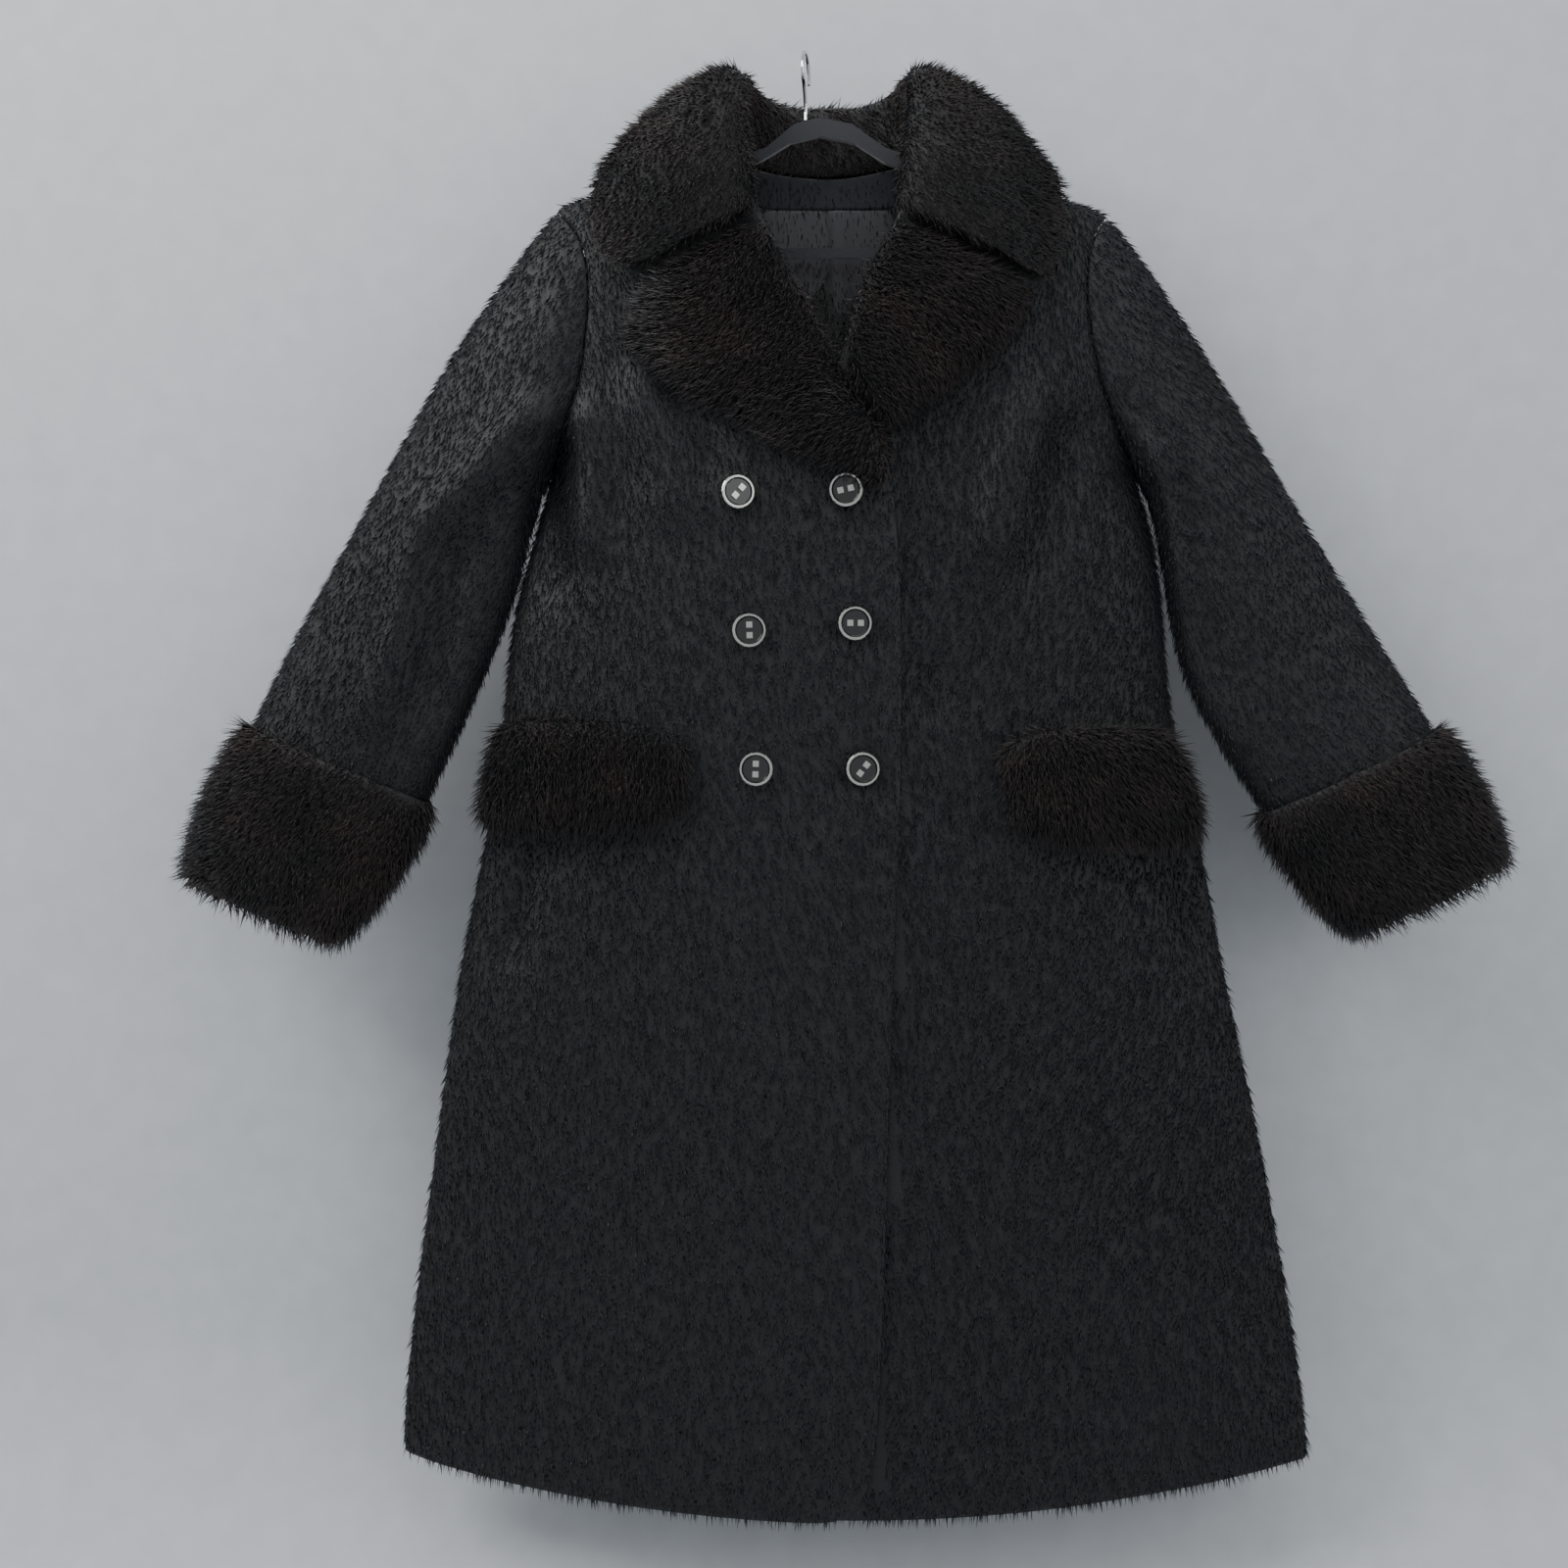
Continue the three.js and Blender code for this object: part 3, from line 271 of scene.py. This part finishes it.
def press(obj, name):
    """Presses the creases of one piece into its cloth, with a slow unevenness."""
    rows = [row for row in CREASES if row["on"] == name]
    for vertex in obj.data.vertices:
        p = vertex.co
        facing = -1 if p.y < 0 else 1
        shift = 0.0
        for row in rows:
            if row["face"] != facing:
                continue
            start = Vector((row["x0"] * MM, row["z0"] * MM))
            along = Vector((row["x1"] * MM, row["z1"] * MM)) - start
            here = Vector((p.x, p.z)) - start
            t = here.dot(along) / along.length_squared
            wander = CREASE_WANDER * noise.noise(Vector((p.x * 22, p.z * 22, row["deep"])))
            away = (here - along * min(1, max(0, t))).length / (row["wide"] * MM) + wander
            ends = smooth(-0.12, 0.2, t) * (1 - smooth(0.75, 1.15, t))
            shift += CREASE_STRENGTH * row["deep"] * MM * math.exp(-away * away) * ends
        shift += SLOW_WAVE * MM * noise.noise(Vector((p.x * 9, 3.7 * facing, p.z * 4)))
        vertex.co.y -= facing * shift
        if name in SLEEVES and p.z > SLEEVE_HEAD_LOW * MM:
            inward = 1 if name == "sleeve_right" else -1
            near = 1 - smooth(0.0, SLEEVE_HEAD_FADE * MM, abs(p.x) - SLEEVE_HEAD_X * MM)
            vertex.co.x += inward * SLEEVE_HEAD_SHIFT * MM * near
    obj.data.update()


def puff(obj, amount):
    """Lifts trim cloth into soft uneven lumps."""
    normals = [v.normal.copy() for v in obj.data.vertices]
    for vertex, normal in zip(obj.data.vertices, normals):
        lump = noise.noise(vertex.co * 26) + 0.5 * noise.noise(vertex.co * 61)
        vertex.co += normal * amount * lump
    obj.data.update()


# ---- nap: the way that the hairs lie ----


def nap_at(name, p, normal):
    """The direction along the cloth in which the hairs are brushed."""
    if name in ("sleeve_right", "cuff_right"):
        way = Vector((-0.47, 0, -0.88))
    elif name in ("sleeve_left", "cuff_left"):
        way = Vector((0.52, 0, -0.85))
    elif name == "collar":
        way = Vector((p.x - 0.016, p.y * 1.5, -0.09))
    elif name == "lapel_right":
        way = Vector((-0.75, 0, -0.65))
    elif name == "lapel_left":
        way = Vector((0.75, 0, -0.65))
    else:
        way = Vector((0.12 * noise.noise(p * 3), 0, -1))
    swirl = noise.noise_vector(p * (9 if name in TRIM else 5))
    way = way.normalized() + swirl * (0.8 if name in TRIM else 0.35)
    way -= normal * way.dot(normal)
    return way.normalized()


def mark_cloth(obj, name):
    """Writes the nap, and where the cloth is open to the air, as attributes of the faces."""
    trees = [(node_tree_of(nodes), reach) for nodes, reach in COVERS[name]]
    mesh = obj.data
    furry = mesh.attributes.new("furry", "FLOAT", "FACE")
    nap = mesh.attributes.new("nap", "FLOAT_VECTOR", "FACE")
    for face in mesh.polygons:
        normal = face.normal
        centre = face.center
        covered = any(
            tree.ray_cast(centre + normal * CLEAR_OF_CLOTH, normal, reach)[0] is not None
            for tree, reach in trees)
        furry.data[face.index].value = 0.0 if covered else 1.0
        nap.data[face.index].vector = nap_at(name, centre, normal)


# ---- the pile: hairs by Geometry Nodes ----


def pile_tree():
    """Locks of hair set over a cloth, leaning along its nap, each a thin closed spike."""
    tree = bpy.data.node_groups.new("Pile", "GeometryNodeTree")
    face = tree.interface
    face.new_socket("Cloth", in_out="INPUT", socket_type="NodeSocketGeometry")
    numbers = (("Density", 1e5), ("Length", 0.01), ("Width", 0.001), ("Lift", 0.5), ("Scatter", 0.3))
    for label, default in numbers:
        face.new_socket(label, in_out="INPUT", socket_type="NodeSocketFloat").default_value = default
    face.new_socket("Seed", in_out="INPUT", socket_type="NodeSocketInt").default_value = 7
    face.new_socket("Finish", in_out="INPUT", socket_type="NodeSocketMaterial")
    face.new_socket("Pile", in_out="OUTPUT", socket_type="NodeSocketGeometry")
    given = add_node(tree, "NodeGroupInput").outputs
    furry = add_node(tree, "GeometryNodeInputNamedAttribute", {"Name": "furry"}, data_type="FLOAT")
    density = add_node(
        tree, "ShaderNodeMath",
        {0: given["Density"], 1: furry.outputs["Attribute"]}, operation="MULTIPLY")
    points = add_node(
        tree, "GeometryNodeDistributePointsOnFaces",
        {"Mesh": given["Cloth"], "Density": density.outputs[0], "Seed": given["Seed"]})
    nap = add_node(tree, "GeometryNodeInputNamedAttribute", {"Name": "nap"}, data_type="FLOAT_VECTOR")
    lifted = add_node(
        tree, "ShaderNodeVectorMath",
        {0: points.outputs["Normal"], "Scale": given["Lift"]}, operation="SCALE")
    lean = add_node(
        tree, "ShaderNodeVectorMath",
        {0: lifted.outputs[0], 1: nap.outputs["Attribute"]}, operation="ADD")
    loose = add_node(
        tree, "FunctionNodeRandomValue",
        {0: (-1, -1, -1), 1: (1, 1, 1), "Seed": given["Seed"]}, data_type="FLOAT_VECTOR")
    stray = add_node(
        tree, "ShaderNodeVectorMath",
        {0: loose.outputs[0], "Scale": given["Scatter"]}, operation="SCALE")
    way = add_node(
        tree, "ShaderNodeVectorMath", {0: lean.outputs[0], 1: stray.outputs[0]}, operation="ADD")
    turn = add_node(
        tree, "FunctionNodeAlignRotationToVector", {"Vector": way.outputs[0]}, axis="Z")
    hair = add_node(
        tree, "GeometryNodeMeshCone",
        {"Vertices": 3, "Radius Top": 0.0, "Radius Bottom": 0.5, "Depth": 1.0}, fill_type="NGON")
    size = add_node(
        tree, "ShaderNodeCombineXYZ",
        {"X": given["Width"], "Y": given["Width"], "Z": given["Length"]})
    vary = add_node(
        tree, "FunctionNodeRandomValue", {2: 0.6, 3: 1.25, "Seed": given["Seed"]}, data_type="FLOAT")
    scale = add_node(
        tree, "ShaderNodeVectorMath",
        {0: size.outputs[0], "Scale": vary.outputs[1]}, operation="SCALE")
    hairs = add_node(
        tree, "GeometryNodeInstanceOnPoints",
        {"Points": points.outputs["Points"], "Instance": hair.outputs["Mesh"],
         "Rotation": turn.outputs["Rotation"], "Scale": scale.outputs[0]})
    real = add_node(tree, "GeometryNodeRealizeInstances", {"Geometry": hairs.outputs["Instances"]})
    done = add_node(
        tree, "GeometryNodeSetMaterial",
        {"Geometry": real.outputs["Geometry"], "Material": given["Finish"]})
    add_node(tree, "NodeGroupOutput", {"Pile": done.outputs["Geometry"]})
    return tree


def grow(cloth, name, tree, material, length, width, lift, scatter):
    """The hairs of one piece, as a plain mesh of their own."""
    open_area = sum(
        face.area for face, mark in zip(cloth.data.polygons, cloth.data.attributes["furry"].data)
        if mark.value > 0.5)
    work = link(bpy.data.objects.new(name + "_pile", cloth.data.copy()))
    modifier = work.modifiers.new("Pile", "NODES")
    modifier.node_group = tree
    values = {
        "Density": HAIRS[name] / max(open_area, 1e-6), "Length": length, "Width": width, "Lift": lift,
        "Scatter": scatter, "Seed": settings().seed + len(name), "Finish": material,
    }
    for item in tree.interface.items_tree:
        if item.name in values and item.in_out == "INPUT":
            modifier[item.identifier] = values[item.name]
    apply_modifiers(work)
    work.data.polygons.foreach_set("use_smooth", [True] * len(work.data.polygons))
    return work


# ---- materials ----


def material(name, **values):
    made = bpy.data.materials.new(name)
    made.use_nodes = True
    shader = made.node_tree.nodes["Principled BSDF"]
    for key, value in values.items():
        shader.inputs[key.replace("_", " ")].default_value = value
    return made, made.node_tree, shader


def fur_material(name, root, tip, sheen, roughness, patch):
    """Acrylic pile: dark at its roots, glossy along the hair, its tips a little lighter in patches."""
    made, tree, shader = material(
        name, Roughness=roughness, Sheen_Weight=sheen, Sheen_Roughness=0.35, Sheen_Tint=srgb("8d9aac"),
        Specular_IOR_Level=0.55)
    where = add_node(tree, "ShaderNodeTexCoord")
    cloud = add_node(
        tree, "ShaderNodeTexNoise", {"Vector": where.outputs["Object"], "Scale": patch, "Detail": 4.0})
    fine = add_node(
        tree, "ShaderNodeTexNoise", {"Vector": where.outputs["Object"], "Scale": 420.0, "Detail": 2.0})
    blend = add_node(
        tree, "ShaderNodeMath", {0: cloud.outputs[0], 1: fine.outputs[0]}, operation="MULTIPLY")
    ramp = add_node(tree, "ShaderNodeValToRGB", {"Fac": blend.outputs[0]})
    ramp.color_ramp.elements[0].position = 0.2
    ramp.color_ramp.elements[0].color = srgb(root)
    ramp.color_ramp.elements[1].position = 0.42
    ramp.color_ramp.elements[1].color = srgb(tip)
    tree.links.new(ramp.outputs["Color"], shader.inputs["Base Color"])
    bump = add_node(
        tree, "ShaderNodeBump", {"Strength": 0.35, "Distance": 0.002, "Height": fine.outputs[0]})
    tree.links.new(bump.outputs["Normal"], shader.inputs["Normal"])
    return made


def satin_material():
    """Woven polyester satin: smooth, softly glossy, with fine vertical yarns."""
    made, tree, shader = material(
        "polyester satin, woven",
        Roughness=0.42, Sheen_Weight=0.3, Sheen_Roughness=0.4, Specular_IOR_Level=0.5)
    where = add_node(tree, "ShaderNodeTexCoord")
    mapped = add_node(
        tree, "ShaderNodeMapping", {"Vector": where.outputs["Object"], "Scale": (1.0, 1.0, 0.08)})
    yarn = add_node(
        tree, "ShaderNodeTexNoise", {"Vector": mapped.outputs[0], "Scale": 900.0, "Detail": 3.0})
    ramp = add_node(tree, "ShaderNodeValToRGB", {"Fac": yarn.outputs[0]})
    ramp.color_ramp.elements[0].color = srgb("2c2b2f")
    ramp.color_ramp.elements[1].color = srgb(settings().lining_colour)
    tree.links.new(ramp.outputs["Color"], shader.inputs["Base Color"])
    bump = add_node(
        tree, "ShaderNodeBump", {"Strength": 0.15, "Distance": 0.0005, "Height": yarn.outputs[0]})
    tree.links.new(bump.outputs["Normal"], shader.inputs["Normal"])
    return made


def plain_material(name, colour, roughness, metallic, grain, strength, **more):
    """A finish with a fine grain in its roughness and surface."""
    made, tree, shader = material(name, Metallic=metallic, **more)
    where = add_node(tree, "ShaderNodeTexCoord")
    speck = add_node(
        tree, "ShaderNodeTexNoise", {"Vector": where.outputs["Object"], "Scale": grain, "Detail": 3.0})
    ramp = add_node(tree, "ShaderNodeValToRGB", {"Fac": speck.outputs[0]})
    ramp.color_ramp.elements[0].color = [0.82 * c for c in srgb(colour)[:3]] + [1.0]
    ramp.color_ramp.elements[1].color = srgb(colour)
    tree.links.new(ramp.outputs["Color"], shader.inputs["Base Color"])
    rough = add_node(
        tree, "ShaderNodeMapRange",
        {"Value": speck.outputs[0], "To Min": roughness * 0.8, "To Max": roughness * 1.25})
    tree.links.new(rough.outputs[0], shader.inputs["Roughness"])
    bump = add_node(
        tree, "ShaderNodeBump", {"Strength": strength, "Distance": 0.0004, "Height": speck.outputs[0]})
    tree.links.new(bump.outputs["Normal"], shader.inputs["Normal"])
    return made


# ---- operators ----


def fur_piece(name, levels, crease, length, width, lift, scatter, cloth_finish, hair_finish):
    cloth = refine(node_copy(name), levels)
    mark_cloth(cloth, name)
    if crease:
        press(cloth, name)
    else:
        puff(cloth, 1.6 * MM)
    cloth.data.materials.append(cloth_finish)
    pile = grow(cloth, name, shared_tree(), hair_finish, length, width, lift, scatter)
    for piece in (cloth, pile):
        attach(piece, "root")
    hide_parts(name)


def shared_tree():
    return bpy.data.node_groups.get("Pile") or pile_tree()


class COAT_OT_body(bpy.types.Operator):
    """Makes the fronts, the back and the sleeves in short silky pile"""

    bl_idname = "coat.body"
    bl_label = "Body and sleeves"

    def execute(self, context):
        look = settings()
        cloth = fur_material("acrylic pile cloth, knitted, body", "010102", look.body_colour, 0.02, 0.6, 14)
        hairs = fur_material("acrylic pile hairs, body", look.body_colour, "0b0e14", 0.22, 0.34, 14)
        for name in (*BODY, *SLEEVES):
            fur_piece(
                name, 2, True, look.body_pile, look.hair_width, 0.42, 0.22, cloth, hairs)
        return {"FINISHED"}


class COAT_OT_trim(bpy.types.Operator):
    """Makes the collar, lapels, flaps and cuffs in long soft pile"""

    bl_idname = "coat.trim"
    bl_label = "Collar, lapels, flaps and cuffs"

    def execute(self, context):
        look = settings()
        cloth = fur_material("acrylic pile cloth, knitted, trim", "060504", look.trim_colour, 0.08, 0.65, 22)
        hairs = fur_material("acrylic pile hairs, trim", look.trim_colour, look.trim_tip, 0.16, 0.42, 22)
        for name in TRIM:
            pile = look.trim_pile * (COLLAR_PILE_SHARE if name == "collar" else 1.0)
            fur_piece(
                name, 2, False, pile, look.hair_width * 1.15, 0.75, 0.45, cloth, hairs)
        return {"FINISHED"}


class COAT_OT_inside(bpy.types.Operator):
    """Makes the back neck facing and the satin lining with its centre pleat"""

    bl_idname = "coat.inside"
    bl_label = "Facing and lining"

    def execute(self, context):
        facing = plain_material(
            "polyester knit, brushed", "1b1d24", 0.75, 0.0, 700.0, 0.4, Sheen_Weight=0.4)
        lining = satin_material()
        for name, finish, slot, flat, area in (
            ("back_facing", facing, "facing", (0.112, 0.034), 0.0035),
            ("back_lining", lining, "lining", (0.112, 0.188), 0.0205),
        ):
            piece = refine(node_copy(name), 3)
            if name == "back_lining":
                for vertex in piece.data.vertices:
                    pleat = math.exp(-(((vertex.co.x - 0.017) / 0.004) ** 2))
                    side = math.exp(-(((vertex.co.x - 0.026) / 0.009) ** 2))
                    vertex.co.y += 1.2 * MM * pleat - 1.4 * MM * side
            piece.data.materials.append(finish)
            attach(piece, "root")
            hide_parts(name)
        return {"FINISHED"}


class COAT_OT_hardware(bpy.types.Operator):
    """Finishes the buttons, the flocked hanger and its hook"""

    bl_idname = "coat.hardware"
    bl_label = "Buttons and hanger"

    def execute(self, context):
        black = plain_material(
            "polyester button, cast and polished", "0a0a0c", 0.12, 0.0, 60.0, 0.02, Coat_Weight=0.6)
        silver = plain_material("zinc alloy, nickel plated", "c9c8c2", 0.2, 1.0, 260.0, 0.04)
        flock = plain_material(
            "nylon flock on moulded ABS", "24262c", 0.95, 0.0, 900.0, 0.6, Sheen_Weight=0.7)
        chrome = plain_material("steel wire, chrome plated", "d2d3d5", 0.1, 1.0, 200.0, 0.02)
        for obj in list(bpy.data.objects):
            if obj.name.startswith("button_"):
                finish = black if obj.name.endswith("_disc") else silver
            elif obj.name in ("hanger_body", "hanger_bar"):
                finish = flock
            elif obj.name == "hanger_hook":
                finish = chrome
            else:
                continue
            obj.data.materials.clear()
            obj.data.materials.append(finish)
        return {"FINISHED"}


class COAT_OT_stage(bpy.types.Operator):
    """Sets the pale wall and floor, the soft lights and the camera"""

    bl_idname = "coat.stage"
    bl_label = "Stage"

    def execute(self, context):
        low, high = CAD_BOX
        wall = high[1] + 0.04
        floor = low[2] - 0.12
        self.backdrop(wall, floor)
        self.camera(low, high)
        for label, place, size, power in (
            ("key", (-1.5, -1.0, 0.9), 1.1, 32),
            ("fill", (1.5, -1.5, 0.1), 1.6, 9),
            ("top", (0.0, -0.6, 1.2), 1.2, 12),
        ):
            lamp = bpy.data.lights.new(label, "AREA")
            lamp.energy = power
            lamp.size = size
            obj = link(bpy.data.objects.new(label, lamp))
            obj.location = place
            aim = Vector((0.02, 0, -0.5)) - Vector(place)
            obj.rotation_euler = aim.to_track_quat("-Z", "Y").to_euler()
        world = bpy.data.worlds.new("Studio")
        world.use_nodes = True
        world.node_tree.nodes["Background"].inputs["Color"].default_value = srgb("e8ecf0")
        world.node_tree.nodes["Background"].inputs["Strength"].default_value = 0.75
        context.scene.world = world
        return {"FINISHED"}

    def backdrop(self, wall, floor):
        bm = bmesh.new()
        profile = [(-2.2, floor)]
        bend = 0.25
        for k in range(9):
            angle = math.radians(90 * k / 8)
            profile.append((wall - bend + bend * math.sin(angle), floor + bend - bend * math.cos(angle)))
        profile.append((wall, 1.4))
        rows = [[bm.verts.new((x, y, z)) for y, z in profile] for x in (-2.6, 2.6)]
        for k in range(len(profile) - 1):
            bm.faces.new((rows[0][k], rows[1][k], rows[1][k + 1], rows[0][k + 1]))
        mesh = bpy.data.meshes.new("backdrop")
        bm.to_mesh(mesh)
        bm.free()
        for face in mesh.polygons:
            face.use_smooth = True
        obj = link(bpy.data.objects.new("backdrop", mesh))
        mesh.materials.append(plain_material("plaster, painted matt", "c9ccd0", 0.9, 0.0, 40.0, 0.05))

    def camera(self, low, high):
        shown = 1.2
        data = bpy.data.cameras.new("camera")
        distance = settings().lens_distance
        data.sensor_width = 36
        data.lens = data.sensor_width * distance / shown
        obj = link(bpy.data.objects.new("camera", data))
        obj.location = (-0.017, -0.03 - distance, -0.57)
        obj.rotation_euler = (math.radians(90), 0, 0)
        bpy.context.scene.camera = obj


class COAT_PT_panel(bpy.types.Panel):
    """Lists the coat's steps and its settings"""

    bl_label = "Coat"
    bl_idname = "COAT_PT_panel"
    bl_space_type = "VIEW_3D"
    bl_region_type = "UI"
    bl_category = "Coat"

    def draw(self, context):
        for operator in OPERATORS:
            self.layout.operator(operator.bl_idname)
        for key in CoatSettings.__annotations__:
            self.layout.prop(context.scene.coat, key)


OPERATORS = (COAT_OT_stage, COAT_OT_body, COAT_OT_trim, COAT_OT_inside, COAT_OT_hardware)
CLASSES = (CoatSettings, *OPERATORS, COAT_PT_panel)


def register():
    for item in CLASSES:
        bpy.utils.register_class(item)
    bpy.types.Scene.coat = PointerProperty(type=CoatSettings)


def unregister():
    del bpy.types.Scene.coat
    for item in reversed(CLASSES):
        bpy.utils.unregister_class(item)


def main():
    register()
    bpy.ops.coat.stage()
    bpy.ops.coat.body()
    bpy.ops.coat.trim()
    bpy.ops.coat.inside()
    bpy.ops.coat.hardware()


if __name__ == "__main__":
    main()
